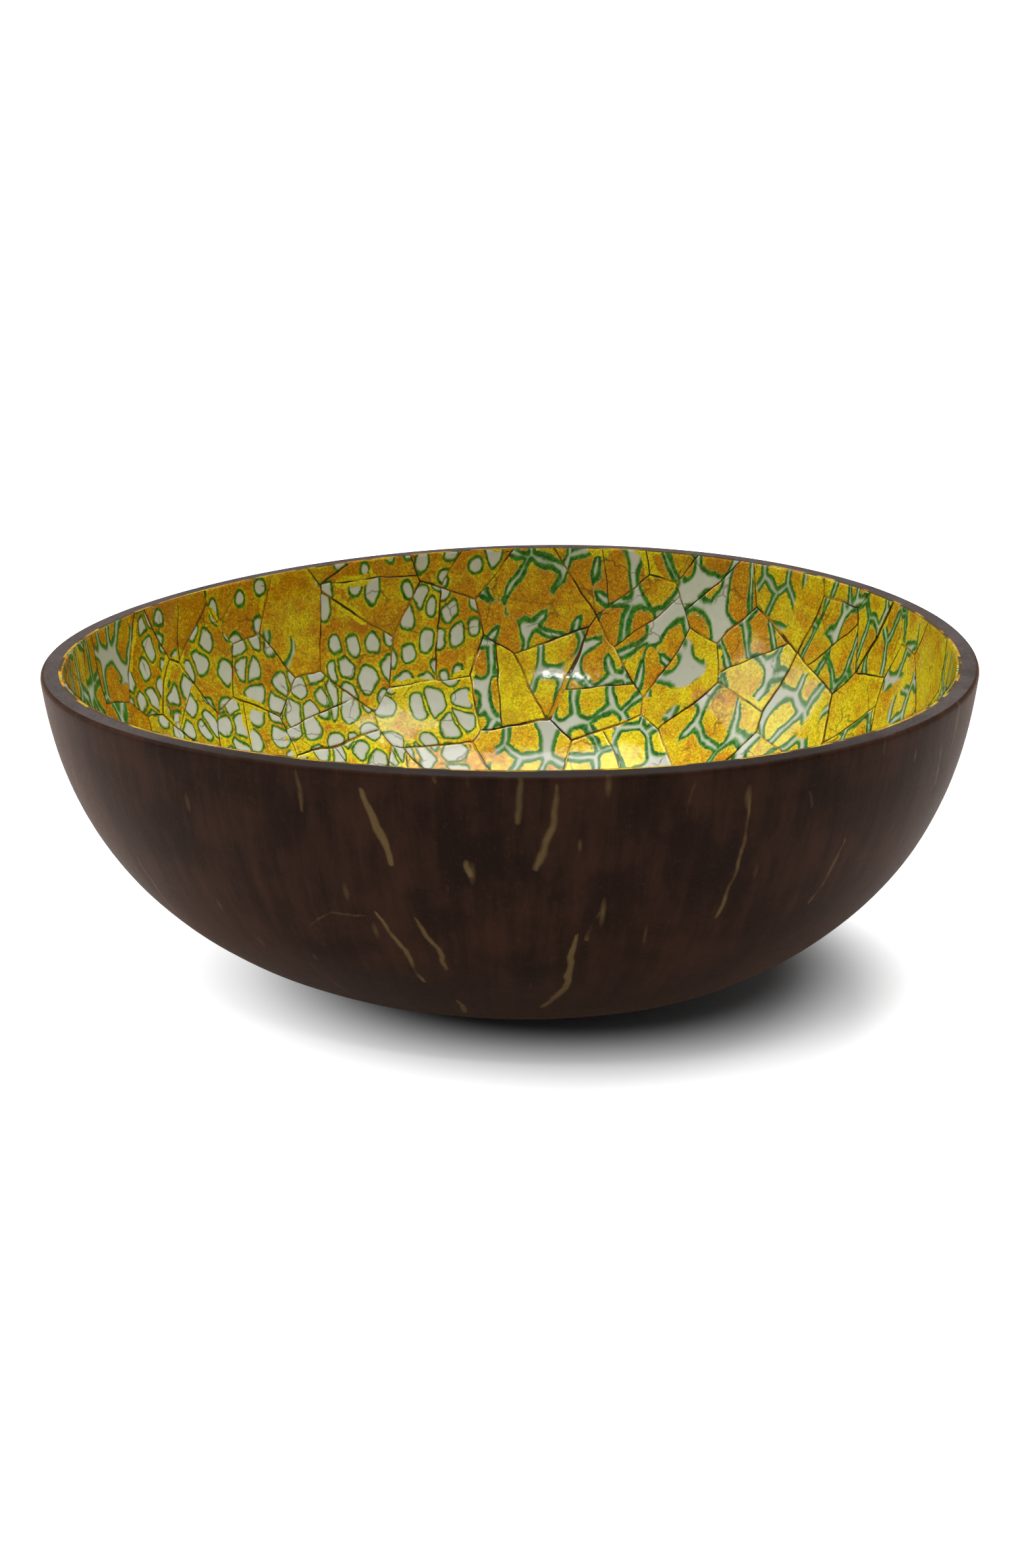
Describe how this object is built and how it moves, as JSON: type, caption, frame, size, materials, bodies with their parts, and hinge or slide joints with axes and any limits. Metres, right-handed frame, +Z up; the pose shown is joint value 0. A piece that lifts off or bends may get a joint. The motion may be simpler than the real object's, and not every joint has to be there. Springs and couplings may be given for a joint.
{
  "type": "coconut shell bowl",
  "caption": "Round bowl made of half a polished coconut shell, lined with a mosaic of cracked gold, white and green lacquer shards under clear lacquer.",
  "frame": {"origin": "centre of the sanded foot, on the table", "axes": "+Z up through the middle of the mouth; X to the right and Y away from the viewer in the picture"},
  "size_m": [0.1348, 0.1348, 0.049],
  "materials": {
    "coconut_shell": "polished dark brown with tan fibres",
    "gold_lacquer": "gold glitter lacquer",
    "clear_lacquer": "clear gloss",
    "white_spot_shard": "sanded layers: white spots ringed with green in gold",
    "gold_cell_shard": "sanded layers: gold cells ringed with green in white",
    "gold_pool": "bright gold glitter lacquer"
  },
  "bodies": {
    "root": {"shell": "coconut_shell", "gold_bed": "gold_lacquer", "clear_lacquer": "clear_lacquer", "white_spot_shards_floor": "white_spot_shard", "white_spot_shards_lower_front": "white_spot_shard", "white_spot_shards_lower_back": "white_spot_shard", "white_spot_shards_middle_front": "white_spot_shard", "white_spot_shards_middle_back": "white_spot_shard", "white_spot_shards_upper_front": "white_spot_shard", "white_spot_shards_upper_back": "white_spot_shard", "white_spot_shards_rim_front": "white_spot_shard", "white_spot_shards_rim_back": "white_spot_shard", "gold_cell_shards_floor": "gold_cell_shard", "gold_cell_shards_lower_front": "gold_cell_shard", "gold_cell_shards_lower_back": "gold_cell_shard", "gold_cell_shards_middle_front": "gold_cell_shard", "gold_cell_shards_middle_back": "gold_cell_shard", "gold_cell_shards_upper_front": "gold_cell_shard", "gold_cell_shards_upper_back": "gold_cell_shard", "gold_cell_shards_rim_front": "gold_cell_shard", "gold_cell_shards_rim_back": "gold_cell_shard", "gold_pools_floor": "gold_pool", "gold_pools_wall": "gold_pool", "gold_pools_rim": "gold_pool"}
  },
  "joints": []
}
